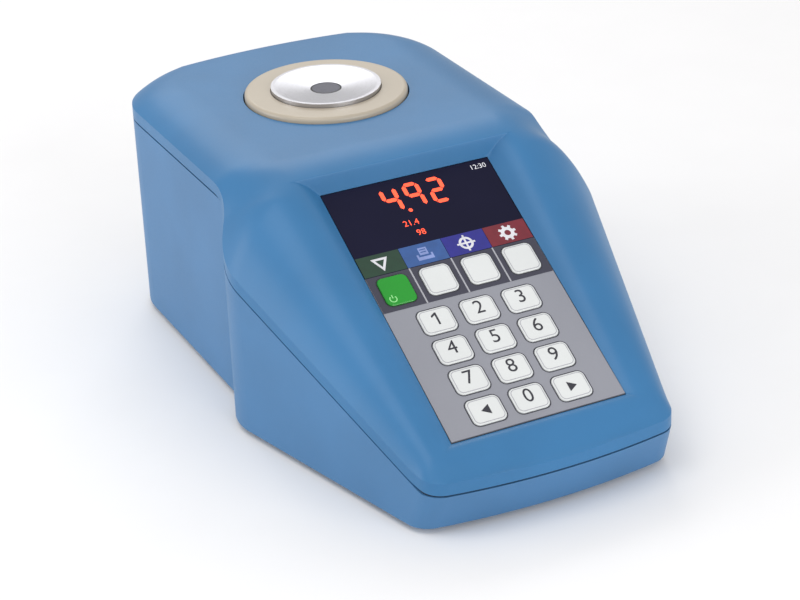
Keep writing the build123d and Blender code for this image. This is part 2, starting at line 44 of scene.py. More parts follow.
# Sizes shared with the solids, in millimetres
case_length = 295.0
half_length = case_length / 2
rear_half_width = 77.5
front_half_width = 89.3
front_corner_y = -12.5
nose_half_width = 56.6
nose_bow = 5.6
rear_bow = 10.5
step_angle = 35.0
nose_corner_radius = 11.0
step_outer_radius = 28.0
step_inner_radius = 20.0
rear_corner_radius = 34.0
top_z = 111.0
nose_top_z = 26.6
brow_y = -8.5
brow_blend = 16.0
nose_seam_z = 21.0
rear_seam_z = 97.0
slope_start_y = -135.0
rise_start_y = -8.0
rise_end_y = 8.0
rise_start_z = 76.0
seam_radius = 9.0
seam_gap = 0.8
panel_angle = 28.3
panel_y = -78.6
panel_z = 63.0
panel_width = 80.7
panel_up = 75.6
panel_down = 56.9
panel_gap = 0.3
valley_angle = 41.0
display_height = 47.0
key_columns = 3
key_pitch_x = 20.0
key_pitch_y = 15.7
key_width = 15.2
key_height = 12.4
soft_key_count = 4
soft_key_pitch = 19.8
soft_key_y = 19.6
soft_key_width = 14.0
soft_key_height = 14.6
key_proud = 0.6
head_y = 67.6
collar_radius = 37.5
collar_gap = 0.7

# The rolled edge of the cover: its width along the case and how far it turns over
rear_shoulder = 25.4
back_shoulder = 11.0
step_shoulder = 32.0
nose_shoulder = 8.0
shoulder_round = 0.5
skirt_height = 5.4

# The walls of the bed that the panel lies in
bed_back_slope = 14.0
bed_front_slope = 1.2
bed_edge_blend = 5.0

# How finely the cover's skin is divided
inner_columns = 34
outer_columns = 56
nose_rows = 24
panel_rows = 96
bed_wall_top = 1.2
bed_wall_rows = 15
bed_edge_rows = 16
deck_rows = 90
rear_rows = 44
rear_band_y = 100.0
plan_samples = 20001
side_samples = 4001
skirt_columns = 420
round_steps = 192
weld_distance = 0.00004

# Values that follow from the sizes
rear_start_y = front_corner_y + (front_half_width - rear_half_width) / math.tan(math.radians(step_angle))
slope_rise = (rise_start_z - nose_seam_z) / (rise_start_y - slope_start_y)
step_rise = (rear_seam_z - rise_start_z) / (rise_end_y - rise_start_y)
ridge_rise = (top_z - nose_top_z) / (brow_y + half_length)
sin_panel = math.sin(math.radians(panel_angle))
cos_panel = math.cos(math.radians(panel_angle))
tan_panel = math.tan(math.radians(panel_angle))
bed_half_width = panel_width / 2 + panel_gap
bed_low_y = panel_y - (panel_down + panel_gap) * cos_panel
bed_high_y = panel_y + (panel_up + panel_gap) * cos_panel


# Materials


def new_material(name):
    material = bpy.data.materials.new(name)
    material.use_nodes = True
    tree = material.node_tree
    tree.nodes.clear()
    out = tree.nodes.new("ShaderNodeOutputMaterial")
    shader = tree.nodes.new("ShaderNodeBsdfPrincipled")
    tree.links.new(shader.outputs["BSDF"], out.inputs["Surface"])
    return material, tree, shader


def object_noise(tree, scale, detail=3.0, roughness=0.5, stretch=(1, 1, 1)):
    coords = tree.nodes.new("ShaderNodeTexCoord")
    mapping = tree.nodes.new("ShaderNodeMapping")
    mapping.inputs["Scale"].default_value = stretch
    noise = tree.nodes.new("ShaderNodeTexNoise")
    noise.inputs["Scale"].default_value = scale
    noise.inputs["Detail"].default_value = detail
    noise.inputs["Roughness"].default_value = roughness
    tree.links.new(coords.outputs["Object"], mapping.inputs["Vector"])
    tree.links.new(mapping.outputs["Vector"], noise.inputs["Vector"])
    return noise.outputs["Fac"]


def two_tone(tree, factor, dark, light, low=0.35, high=0.65):
    """A colour between dark and light, by the factor."""
    tones = tree.nodes.new("ShaderNodeValToRGB")
    tones.color_ramp.elements[0].position = low
    tones.color_ramp.elements[0].color = (*dark, 1)
    tones.color_ramp.elements[1].position = high
    tones.color_ramp.elements[1].color = (*light, 1)
    tree.links.new(factor, tones.inputs["Fac"])
    return tones.outputs["Color"]


def spread(tree, factor, low, high):
    reach = tree.nodes.new("ShaderNodeMapRange")
    reach.inputs["To Min"].default_value = low
    reach.inputs["To Max"].default_value = high
    tree.links.new(factor, reach.inputs["Value"])
    return reach.outputs["Result"]


def add_bump(tree, shader, height, strength, distance):
    bump = tree.nodes.new("ShaderNodeBump")
    bump.inputs["Strength"].default_value = strength
    bump.inputs["Distance"].default_value = distance
    tree.links.new(height, bump.inputs["Height"])
    tree.links.new(bump.outputs["Normal"], shader.inputs["Normal"])


def moulded(
    name, color, rough=0.4, vary=0.04, grain=1500.0, depth=0.00003, strength=0.35, coat=0.0, metal=0.0
):
    """A moulded or painted surface: slow colour variation, fine texture in the bump and the gloss."""
    patch_scale, patch_detail, grain_detail = 22.0, 4.0, 2.0
    gloss_vary, coat_rough = 0.15, 0.2
    material, tree, shader = new_material(name)
    slow = object_noise(tree, patch_scale, patch_detail)
    dark = [c * (1 - vary) for c in color]
    light = [min(1.0, c * (1 + vary)) for c in color]
    tree.links.new(two_tone(tree, slow, dark, light), shader.inputs["Base Color"])
    fine = object_noise(tree, grain, grain_detail)
    gloss = spread(tree, fine, rough * (1 - gloss_vary), rough * (1 + gloss_vary))
    tree.links.new(gloss, shader.inputs["Roughness"])
    add_bump(tree, shader, fine, strength, depth)
    shader.inputs["Metallic"].default_value = metal
    shader.inputs["Coat Weight"].default_value = coat
    shader.inputs["Coat Roughness"].default_value = coat_rough
    return material


def turned_metal(name, color, rough, centre):
    """Metal turned on a lathe: fine rings round an upright axis."""
    line_scale, line_detail = 9000.0, 2.0
    vary, gloss_vary, strength, depth = 0.12, 0.2, 0.25, 0.00002
    material, tree, shader = new_material(name)
    coords = tree.nodes.new("ShaderNodeTexCoord")
    offset = tree.nodes.new("ShaderNodeVectorMath")
    offset.operation = "SUBTRACT"
    offset.inputs[1].default_value = centre
    tree.links.new(coords.outputs["Object"], offset.inputs[0])
    flat = tree.nodes.new("ShaderNodeVectorMath")
    flat.operation = "MULTIPLY"
    flat.inputs[1].default_value = (1, 1, 0)
    tree.links.new(offset.outputs["Vector"], flat.inputs[0])
    length = tree.nodes.new("ShaderNodeVectorMath")
    length.operation = "LENGTH"
    tree.links.new(flat.outputs["Vector"], length.inputs[0])
    noise = tree.nodes.new("ShaderNodeTexNoise")
    noise.noise_dimensions = "1D"
    noise.inputs["Scale"].default_value = line_scale
    noise.inputs["Detail"].default_value = line_detail
    tree.links.new(length.outputs["Value"], noise.inputs["W"])
    rings = noise.outputs["Fac"]
    dark = [c * (1 - vary) for c in color]
    tree.links.new(two_tone(tree, rings, dark, color), shader.inputs["Base Color"])
    gloss = spread(tree, rings, rough * (1 - gloss_vary), rough * (1 + gloss_vary))
    tree.links.new(gloss, shader.inputs["Roughness"])
    add_bump(tree, shader, rings, strength, depth)
    shader.inputs["Metallic"].default_value = 1.0
    return material


def glowing(name, color, strength):
    """A lit patch of the display, with a slight unevenness across it."""
    patch_scale, vary, rough = 300.0, 0.15, 0.35
    unlit = (0.01, 0.01, 0.012, 1)
    material, tree, shader = new_material(name)
    dim = [c * (1 - vary) for c in color]
    tone = two_tone(tree, object_noise(tree, patch_scale), dim, color)
    tree.links.new(tone, shader.inputs["Emission Color"])
    shader.inputs["Emission Strength"].default_value = strength
    shader.inputs["Base Color"].default_value = unlit
    shader.inputs["Roughness"].default_value = rough
    return material


def dull(material, level):
    """Weaken the mirror-like part of a plastic."""
    shader = next(node for node in material.node_tree.nodes if node.type == "BSDF_PRINCIPLED")
    shader.inputs["Specular IOR Level"].default_value = level


case_blue = moulded("case_blue", (0.036, 0.160, 0.345), rough=0.42, vary=0.05, coat=0.05)
# The base's blue is greyer and a little lighter than the cover's; this is painted sheen for the grazing
# light on the base's side walls.
base_blue_painted_sheen = moulded("base_blue_painted_sheen", (0.062, 0.182, 0.365), rough=0.45, vary=0.05)
seal_black = moulded("seal_black", (0.012, 0.014, 0.018), rough=0.6)
screw_zinc = moulded("screw_zinc", (0.55, 0.55, 0.56), rough=0.3, metal=1.0)
foot_rubber = moulded("foot_rubber", (0.018, 0.018, 0.02), rough=0.75, depth=0.00006)
collar_beige = moulded("collar_beige", (0.43, 0.375, 0.295), rough=0.38, vary=0.03, coat=0.1)
dish_steel = turned_metal("dish_steel", (0.52, 0.52, 0.55), 0.3, (0, head_y * MM, 0))
prism_glass = moulded("prism_glass", (0.020, 0.022, 0.055), rough=0.08, vary=0.1, strength=0.02, coat=0.6)
block_aluminium = moulded("block_aluminium", (0.72, 0.73, 0.75), rough=0.35, metal=1.0)
ceramic = moulded("ceramic", (0.82, 0.82, 0.78), rough=0.5)
nickel = moulded("nickel", (0.68, 0.65, 0.55), rough=0.3, metal=1.0)
housing_black = moulded("housing_black", (0.02, 0.02, 0.023), rough=0.45)
board_green = moulded("board_green", (0.02, 0.16, 0.06), rough=0.4)
window_black = moulded("window_black", (0.008, 0.008, 0.026), rough=0.3, vary=0.08, strength=0.05)
overlay_grey = moulded("overlay_grey", (0.255, 0.262, 0.300), rough=0.55, vary=0.03, grain=2500.0)
plate_grey = moulded("plate_grey", (0.10, 0.105, 0.115), rough=0.5)
port_steel = moulded("port_steel", (0.60, 0.60, 0.62), rough=0.28, metal=1.0)
key_white = moulded("key_white", (0.66, 0.68, 0.68), rough=0.32, vary=0.02, coat=0.2, strength=0.12)
key_green = moulded("key_green", (0.003, 0.270, 0.012), rough=0.3, vary=0.06, coat=0.3, strength=0.12)
ink_dark = moulded("ink_dark", (0.045, 0.045, 0.055), rough=0.5)
ink_grey = moulded("ink_grey", (0.060, 0.060, 0.082), rough=0.5)
ink_pale = moulded("ink_pale", (0.360, 0.365, 0.400), rough=0.5)
outline_grey = moulded("outline_grey", (0.055, 0.055, 0.070), rough=0.5)
mark_green = moulded("mark_green", (0.30, 0.75, 0.28), rough=0.4)
digit_red = glowing("digit_red", (1.0, 0.085, 0.030), 2.2)
clock_white = glowing("clock_white", (0.85, 0.85, 0.90), 1.1)
tab_green = glowing("tab_green", (0.006, 0.055, 0.022), 0.8)
tab_blue = glowing("tab_blue", (0.035, 0.130, 0.420), 0.8)
tab_deep = glowing("tab_deep", (0.016, 0.016, 0.330), 0.8)
tab_red = glowing("tab_red", (0.240, 0.006, 0.022), 0.8)
icon_lilac = glowing("icon_lilac", (0.290, 0.380, 0.760), 0.9)
icon_white = glowing("icon_white", (0.90, 0.90, 0.95), 0.9)

dull(window_black, 0.12)
dull(case_blue, 0.32)
dull(base_blue_painted_sheen, 0.32)
for ink in (ink_dark, ink_grey, outline_grey):
    dull(ink, 0.15)

node_looks = {
    "base_case": base_blue_painted_sheen,
    "top_cover": case_blue,
    "case_gasket": seal_black,
    "case_screws": screw_zinc,
    "rubber_feet": foot_rubber,
    "insulating_collar": collar_beige,
    "prism_dish": dish_steel,
    "prism": prism_glass,
    "prism_seal": seal_black,
    "head_seal": seal_black,
    "thermal_block": block_aluminium,
    "peltier_modules": ceramic,
    "heat_sink": block_aluminium,
    "chassis_pillars": nickel,
    "light_source": housing_black,
    "lens_barrel": housing_black,
    "lens": prism_glass,
    "sensor_board": board_green,
    "line_sensor": housing_black,
    "display_window": window_black,
    "display_module": housing_black,
    "keypad_overlay": overlay_grey,
    "keypad_board": board_green,
    "key_domes": port_steel,
    "main_board": board_green,
    "board_components": housing_black,
    "board_screws": screw_zinc,
    "connector_plate": plate_grey,
    "power_inlet": housing_black,
    "serial_port": port_steel,
    "usb_port": port_steel,
    "key_power": key_green,
}
for name, node in nodes.items():
    node.data.materials.clear()
    node.data.materials.append(node_looks.get(name, key_white))


# Mesh helpers


def make_object(name, points, faces, material, body="case", smooth=True):
    mesh = bpy.data.meshes.new(name)
    mesh.from_pydata([tuple(c * MM for c in p) for p in points], [], faces)
    mesh.materials.append(material)
    mesh.polygons.foreach_set("use_smooth", [smooth] * len(mesh.polygons))
    mesh.update()
    piece = bpy.data.objects.new(name, mesh)
    bpy.context.scene.collection.objects.link(piece)
    if body:
        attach(piece, body)
    return piece


def on_panel(x, y, height):
    """A place on the panel: x to the right, y up the slope, height over it."""
    return (x, panel_y + y * cos_panel - height * sin_panel, panel_z + y * sin_panel + height * cos_panel)


def flat_print(name, outlines, height, material, body="case"):
    """Flat shapes on the panel, each a closed list of x, y; a tuple of lists is a shape with holes."""
    points, faces = [], []
    for shape in outlines:
        loops = shape if isinstance(shape, tuple) else (shape,)
        work = bmesh.new()
        edges = []
        for loop in loops:
            ring = [work.verts.new((x, y, 0)) for x, y in loop]
            edges += [work.edges.new((ring[i - 1], ring[i])) for i in range(len(ring))]
        bmesh.ops.triangle_fill(work, use_beauty=True, use_dissolve=False, edges=edges)
        work.verts.index_update()
        start = len(points)
        points += [on_panel(v.co.x, v.co.y, height) for v in work.verts]
        for face in work.faces:
            order = [start + v.index for v in face.verts]
            faces.append(order if face.normal.z > 0 else order[::-1])
        work.free()
    return make_object(name, points, faces, material, body, smooth=False)


# Outline of the case


def corner_arc(corner, before, after, radius, steps=14):
    """Points of the arc that rounds a corner between two straight lines."""
    corner, before, after = Vector(corner), Vector(before), Vector(after)
    back = (before - corner).normalized()
    on = (after - corner).normalized()
    half = math.acos(max(-1.0, min(1.0, back.dot(on)))) / 2
    reach = radius / math.tan(half)
    centre = corner + (back + on).normalized() * (radius / math.sin(half))
    start = corner + back * reach - centre
    turn = start.angle_signed(corner + on * reach - centre)
    points = []
    for i in range(steps + 1):
        a = -turn * i / steps
        x = centre.x + start.x * math.cos(a) - start.y * math.sin(a)
        y = centre.y + start.x * math.sin(a) + start.y * math.cos(a)
        points.append((x, y))
    return points


def bow_corner(line_from, line_to, bow_centre, bow_radius, radius, steps=18):
    """Points of the arc between a straight wall and a bowed end wall, from the straight wall on."""
    start, end = Vector(line_from), Vector(line_to)
    along = (end - start).normalized()
    inward = Vector((-along.y, along.x))
    if inward.dot(Vector(bow_centre) - start) < 0:
        inward = -inward
    base = start + inward * radius
    gap = base - Vector(bow_centre)
    b = gap.dot(along)
    c = gap.length_squared - (bow_radius - radius) ** 2
    centre = base + along * (-b + math.sqrt(b * b - c))
    first = centre - inward * radius
    away = (centre - Vector(bow_centre)).normalized()
    last = centre + away * radius
    a0 = math.atan2(first.y - centre.y, first.x - centre.x)
    a1 = math.atan2(last.y - centre.y, last.x - centre.x)
    points = []
    for i in range(steps + 1):
        a = a0 + (a1 - a0) * i / steps
        points.append((centre.x + radius * math.cos(a), centre.y + radius * math.sin(a)))
    return points


def half_outline():
    """The right half of the case's plan, from the middle of the nose to the middle of the back."""
    nose = (nose_half_width, -half_length + nose_bow)
    front = (front_half_width, front_corner_y)
    step = (rear_half_width, rear_start_y)
    back = (rear_half_width, half_length - rear_bow)
    nose_radius = (nose_half_width**2 + nose_bow**2) / (2 * nose_bow)
    nose_centre = (0, -half_length + nose_radius)
    rear_radius = (rear_half_width**2 + rear_bow**2) / (2 * rear_bow)
    rear_centre = (0, half_length - rear_radius)
    nose_turn = bow_corner(front, nose, nose_centre, nose_radius, nose_corner_radius)[::-1]
    rear_turn = bow_corner(step, back, rear_centre, rear_radius, rear_corner_radius)
    bow_steps = 24
    points = []
    for i in range(bow_steps):
        a = math.asin(nose_turn[0][0] / nose_radius) * i / bow_steps
        points.append((nose_radius * math.sin(a), nose_centre[1] - nose_radius * math.cos(a)))
    points += nose_turn
    points += corner_arc(front, nose, step, step_outer_radius)
    points += corner_arc(step, front, back, step_inner_radius)
    points += rear_turn
    for i in range(1, bow_steps + 1):
        a = math.asin(rear_turn[-1][0] / rear_radius) * (1 - i / bow_steps)
        points.append((rear_radius * math.sin(a), rear_centre[1] + rear_radius * math.cos(a)))
    return np.array(points)


plan_half = half_outline()
plan_steps = np.hypot(*np.diff(plan_half, axis=0).T)
plan_travel = np.concatenate([[0], np.cumsum(plan_steps)])
plan_length = plan_steps.sum()


def inward_distance(x, y):
    """Distance in from the case's plan, for arrays of places with x not below 0."""
    start, end = plan_half[:-1], plan_half[1:]
    along = end - start
    keep = (along**2).sum(1) > 1e-9
    start, along = start[keep], along[keep]
    px, py = x.ravel()[:, None], y.ravel()[:, None]
    rx, ry = px - start[:, 0], py - start[:, 1]
    share = np.clip((rx * along[:, 0] + ry * along[:, 1]) / (along**2).sum(1), 0, 1)
    gap = np.hypot(rx - share * along[:, 0], ry - share * along[:, 1])
    return gap.min(1).reshape(x.shape)


def walk(start, end, count):
    """Evenly spaced places along the plan, between two distances along it."""
    at = np.linspace(start, end, count)
    xs = np.interp(at, plan_travel, plan_half[:, 0])
    ys = np.interp(at, plan_travel, plan_half[:, 1])
    return np.stack([xs, ys], axis=1)


def travel_to(test):
    """How far along the plan the first place is for which the test on x and y holds."""
    distances = np.linspace(0, plan_travel[-1], plan_samples)
    places = walk(0, plan_travel[-1], plan_samples)
    return distances[np.argmax(test(places[:, 0], places[:, 1]))]


# Skin of the cover


def ramp(distance, blend):
    """Nothing before zero and the distance itself after it, with a soft start."""
    soft = (distance + blend) ** 2 / (4 * blend)
    return np.where(distance <= -blend, 0.0, np.where(distance >= blend, distance, soft))


def ridge_height(y):
    """Height of the cover's middle: a straight slope, then the level deck."""
    return nose_top_z + ridge_rise * (y + half_length - ramp(y - brow_y, brow_blend))


def seam_height(y):
    """Height of the seam between base and cover: a long slope, a short rise, then level."""
    rise = slope_rise * ramp(y - slope_start_y, seam_radius)
    rise = rise + (step_rise - slope_rise) * ramp(y - rise_start_y, seam_radius)
    return nose_seam_z + rise - step_rise * ramp(y - rise_end_y, seam_radius)


def shoulder_width(x, y):
    """Width of the rolled edge: narrow at the nose, widest at the step, tight along the back wall."""
    growth = (step_shoulder - nose_shoulder) / (front_corner_y - slope_start_y)
    fall = (step_shoulder - rear_shoulder) / (rear_start_y - front_corner_y)
    width = nose_shoulder + growth * ramp(y - slope_start_y, seam_radius)
    width = width - (growth + fall) * ramp(y - front_corner_y, seam_radius)
    width = width + fall * ramp(y - rear_start_y, seam_radius)
    rear_y = half_length - rear_bow
    back = np.clip((y - rear_y + rear_corner_radius) / rear_corner_radius, 0, 1)
    aside = np.clip((np.abs(x) - rear_half_width + rear_corner_radius) / rear_corner_radius, 0, 1)
    return width + (back_shoulder - width) * back * (1 - aside)


def crown_height(x, y):
    """Height of the cover without the panel's bed."""
    spine = ridge_height(y)
    crease = seam_height(y) + seam_gap + skirt_height
    drop = np.maximum(spine - crease, 0)
    share = np.clip(inward_distance(x, y) / shoulder_width(x, y), 0, 1)
    full = 1 - math.sqrt(1 - shoulder_round)
    fall = (1 - np.sqrt(1 - shoulder_round * (1 - share) ** 2)) / full
    return spine - drop * fall


def soft_min(a, b, blend):
    """The lower of two heights, rounded where they meet."""
    near = np.clip(1 - np.abs(a - b) / blend, 0, 1)
    return np.minimum(a, b) - near**2 * blend / 4


def bed_height(x, y):
    """Height of the walls round the panel's bed."""
    plane = panel_z + (y - panel_y) * tan_panel
    lean = math.tan(math.radians(valley_angle)) / cos_panel
    side = plane + np.maximum(np.abs(x) - bed_half_width, 0) * lean
    back = panel_z + (panel_up + panel_gap) * sin_panel + (y - bed_high_y) * bed_back_slope
    front = plane + np.maximum(bed_low_y - y, 0) * bed_front_slope
    walls = np.maximum(side, front)
    return np.where(y > bed_high_y, np.maximum(walls, back), walls)


def cover_height(x, y):
    """Height of the cover's skin."""
    return soft_min(crown_height(x, y), bed_height(x, y), bed_edge_blend)


def coons(bottom, top, left, right):
    """A grid of places inside four edges; bottom and top run the same way, and so do left and right."""
    rows, cols = len(left), len(bottom)
    v = np.linspace(0, 1, rows)[:, None, None]
    u = np.linspace(0, 1, cols)[None, :, None]
    bottom, top = np.array(bottom)[None, :, :], np.array(top)[None, :, :]
    left, right = np.array(left)[:, None, :], np.array(right)[:, None, :]
    corners = (1 - u) * (1 - v) * bottom[:, :1] + u * (1 - v) * bottom[:, -1:]
    corners = corners + (1 - u) * v * top[:, :1] + u * v * top[:, -1:]
    return (1 - v) * bottom + v * top + (1 - u) * left + u * right - corners


def straight(start, end, count):
    """Evenly spaced places on a straight line."""
    share = np.linspace(0, 1, count)[:, None]
    return np.array(start) * (1 - share) + np.array(end) * share


def level_rows(left, right, ys, count):
    """A grid of level rows, each from its left x to its right x."""
    share = np.linspace(0, 1, count)[None, :, None]
    starts = np.stack([left + 0 * ys, ys], axis=1)[:, None, :]
    ends = np.stack([right + 0 * ys, ys], axis=1)[:, None, :]
    return (1 - share) * starts + share * ends


def nose_grids():
    """The skin in front of the panel, from the middle to the side wall."""
    corner_margin, bow_share = 1.5, 0.9
    turn_x = nose_half_width - corner_margin
    turn_y = -half_length + nose_bow * bow_share
    nose_at = travel_to(lambda x, y: x >= bed_half_width)
    turn_at = travel_to(lambda x, y: (x > turn_x) & (y > turn_y))
    side_at = travel_to(lambda x, y: y >= bed_low_y)
    middle, corner = (0, bed_low_y), (bed_half_width, bed_low_y)
    front = walk(0, nose_at, inner_columns)
    flank = walk(side_at, turn_at, nose_rows)
    ray = straight(corner, front[-1], nose_rows)
    inner = coons(straight(middle, corner, inner_columns), front, straight(middle, front[0], nose_rows), ray)
    turn = walk(nose_at, turn_at, outer_columns)
    outer = coons(straight(corner, flank[0], outer_columns), turn, ray, flank)
    return [inner, outer]


def middle_grids():
    """The skin beside the panel, and the deck behind it as far as the rear band."""
    side_at = travel_to(lambda x, y: y >= bed_low_y)
    rear_at = travel_to(lambda x, y: y >= rear_band_y)
    beside = np.linspace(bed_low_y, bed_high_y, panel_rows)[:-1]
    wall = bed_high_y + np.linspace(0, bed_wall_top, bed_wall_rows)[:-1]
    edge = bed_high_y + np.linspace(bed_wall_top, bed_edge_blend, bed_edge_rows)[:-1]
    deck = np.linspace(bed_high_y + bed_edge_blend, rear_band_y, deck_rows)
    ys = np.concatenate([beside, wall, edge, deck])
    run = walk(side_at, rear_at, side_samples)
    sides = np.interp(ys, run[:, 1], run[:, 0])
    outer = level_rows(bed_half_width, sides, ys, outer_columns)
    inner = level_rows(0, bed_half_width, ys[ys >= bed_high_y], inner_columns)
    return [outer, inner]


def rear_grids():
    """The skin of the rear band, from the middle to the side wall."""
    corner_share = 0.29
    turn_x = rear_half_width - rear_corner_radius * corner_share
    rear_at = travel_to(lambda x, y: y >= rear_band_y)
    turn_at = travel_to(lambda x, y: (y > rear_band_y) & (x < turn_x))
    back_at = travel_to(lambda x, y: (y > rear_band_y) & (x <= bed_half_width))
    middle, corner = (0, rear_band_y), (bed_half_width, rear_band_y)
    side = (rear_half_width, rear_band_y)
    back = walk(plan_length, back_at, inner_columns)
    flank = walk(rear_at, turn_at, rear_rows)
    ray = straight(corner, back[-1], rear_rows)
    inner = coons(straight(middle, corner, inner_columns), back, straight(middle, back[0], rear_rows), ray)
    turn = walk(back_at, turn_at, outer_columns)
    outer = coons(straight(corner, side, outer_columns), turn, ray, flank)
    return [inner, outer]


def add_skin(work, grid, side):
    """Add a grid of the skin to the mesh: side 1 as it is, side -1 as its mirror image."""
    x, y = grid[:, :, 0], grid[:, :, 1]
    z = cover_height(x, y)
    rows, columns = x.shape
    verts = []
    for j in range(rows):
        row = [(side * x[j, i] * MM, y[j, i] * MM, z[j, i] * MM) for i in range(columns)]
        verts.append([work.verts.new(place) for place in row])
    for j in range(rows - 1):
        for i in range(columns - 1):
            work.faces.new((verts[j][i], verts[j][i + 1], verts[j + 1][i + 1], verts[j + 1][i]))


def drum(name, radius, y):
    """An upright round block over the deck, to cut the head's opening with."""
    low, high = 60.0, 160.0
    points = []
    for z in (low, high):
        for i in range(round_steps):
            a = 2 * math.pi * i / round_steps
            points.append((radius * math.cos(a), y + radius * math.sin(a), z))
    faces = []
    for i in range(round_steps):
        j = (i + 1) % round_steps
        faces.append((i, j, round_steps + j, round_steps + i))
    faces.append(tuple(range(round_steps - 1, -1, -1)))
    faces.append(tuple(range(round_steps, 2 * round_steps)))
    return make_object(name, points, faces, case_blue, None)


def cut_away(piece, cutter):
    """Cut the cutter's shape out of the piece, and delete the cutter."""
    trim = piece.modifiers.new("opening", "BOOLEAN")
    trim.operation = "DIFFERENCE"
    trim.object = cutter
    trim.solver = "EXACT"
    bpy.context.view_layer.update()
    cut = bpy.data.meshes.new_from_object(piece.evaluated_get(bpy.context.evaluated_depsgraph_get()))
    piece.modifiers.clear()
    piece.data = cut
    bpy.data.objects.remove(cutter)


def cover_shell():
    """The cover's skin in one piece, with the head's opening cut out."""
    work = bmesh.new()
    for grid in nose_grids() + middle_grids() + rear_grids():
        for side in (1, -1):
            add_skin(work, grid, side)
    bmesh.ops.remove_doubles(work, verts=work.verts, dist=weld_distance)
    bmesh.ops.recalc_face_normals(work, faces=work.faces)
    if sum(face.normal.z for face in work.faces) < 0:
        bmesh.ops.reverse_faces(work, faces=work.faces)
    mesh = bpy.data.meshes.new("cover_shell")
    work.to_mesh(mesh)
    work.free()
    mesh.materials.append(case_blue)
    mesh.polygons.foreach_set("use_smooth", [True] * len(mesh.polygons))
    piece = bpy.data.objects.new("cover_shell", mesh)
    bpy.context.scene.collection.objects.link(piece)
    cut_away(piece, drum("head_opening", collar_radius + collar_gap, head_y))
    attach(piece, "case")
    return piece


def strip(first, second, start):
    """The points and faces between two closed rings of equal count; start is the number of points before."""
    count = len(first)
    faces = []
    for i in range(count):
        j = (i + 1) % count
        faces.append((start + i, start + count + i, start + count + j, start + j))
    return first + second, faces


def cover_skirt():
    """The upright band under the crease, its lower edge at the seam, and the lip of the head's opening."""
    edge_inset = 2.5 / 90
    lip_depth = 4.0
    right = walk(0, plan_length, skirt_columns)
    ring = np.concatenate([right, right[-2:0:-1] * (-1, 1)])
    seam = seam_height(ring[:, 1]) + seam_gap
    crease = crown_height(np.abs(ring[:, 0]), ring[:, 1])
    inset = ring * (1 - edge_inset)
    angle = np.linspace(0, 2 * math.pi, round_steps, endpoint=False)
    hole = np.stack([np.cos(angle), np.sin(angle)], 1) * (collar_radius + collar_gap) + (0, head_y)
    rim = cover_height(np.abs(hole[:, 0]), hole[:, 1])
    points, faces = [], []
    for upper, upper_z, lower, lower_z in (
        (ring, crease, ring, seam),
        (ring, seam, inset, seam),
        (hole, rim, hole, rim - lip_depth),
    ):
        first = [(x, y, z) for (x, y), z in zip(upper, upper_z)]
        second = [(x, y, z) for (x, y), z in zip(lower, lower_z)]
        more_points, more_faces = strip(first, second, len(points))
        points += more_points
        faces += more_faces
    return make_object("cover_skirt", points, faces, case_blue)


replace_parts(cover_shell(), "top_cover")
cover_skirt()


# Prints on the keypad and the display

print_height = 0.06
print_step = 0.04
icon_height = 0.12
cap_print_height = key_proud + 0.05
display_bottom = panel_up - display_height
tab_width = panel_width / 4
tab_height = 11.0


def rounded(x, y, width, height, radius, steps=6):
    """A rounded rectangle round x, y as a closed list of places."""
    points = []
    for corner, (cx, cy) in enumerate(((1, 1), (-1, 1), (-1, -1), (1, -1))):
        for i in range(steps + 1):
            a = math.pi / 2 * (corner + i / steps)
            px = x + cx * (width / 2 - radius) + radius * math.cos(a)
            py = y + cy * (height / 2 - radius) + radius * math.sin(a)
            points.append((px, py))
    return points


def square(left, right, low, high):
    """A rectangle as a closed list of places."""
    return [(left, low), (right, low), (right, high), (left, high)]


def circle(x, y, radius, steps=28, start=0.0, end=360.0):
    """A circle, or an open arc of one, as a list of places."""
    angles = [math.radians(start + (end - start) * i / steps) for i in range(steps)]
    return [(x + radius * math.cos(a), y + radius * math.sin(a)) for a in angles]


def shifted(points, x, y):
    """The same outline, moved to x, y."""
    return [(x + px, y + py) for px, py in points]


def key_places():
    """The name, middle, width and height of each key: the soft keys first, then the numeric block."""
    places = []
    for i in range(soft_key_count):
        x = (i - (soft_key_count - 1) / 2) * soft_key_pitch
        name = "key_power" if i == 0 else f"key_soft_{i}"
        places.append((name, x, soft_key_y, soft_key_width, soft_key_height))
    names = ["1", "2", "3", "4", "5", "6", "7", "8", "9", "left", "0", "right"]
    for i, name in enumerate(names):
        x = (i % key_columns - (key_columns - 1) / 2) * key_pitch_x
        y = -(i // key_columns) * key_pitch_y
        places.append((f"key_{name}", x, y, key_width, key_height))
    return places


def letters(name, text, x, y, size, height, material, body="case"):
    """Plain numerals on the panel, centred on x, y."""
    data = bpy.data.curves.new(name, "FONT")
    data.body = text
    data.size = size
    data.align_x = "CENTER"
    data.align_y = "CENTER"
    data.resolution_u = 6
    carrier = bpy.data.objects.new(name, data)
    bpy.context.scene.collection.objects.link(carrier)
    bpy.context.view_layer.update()
    flat = bpy.data.meshes.new_from_object(carrier)
    bpy.data.objects.remove(carrier)
    points = [on_panel(x + v.co.x, y + v.co.y, height) for v in flat.vertices]
    faces = []
    for face in flat.polygons:
        order = list(face.vertices)
        faces.append(order if face.normal.z > 0 else order[::-1])
    bpy.data.meshes.remove(flat)
    return make_object(name + "_print", points, faces, material, body, smooth=False)


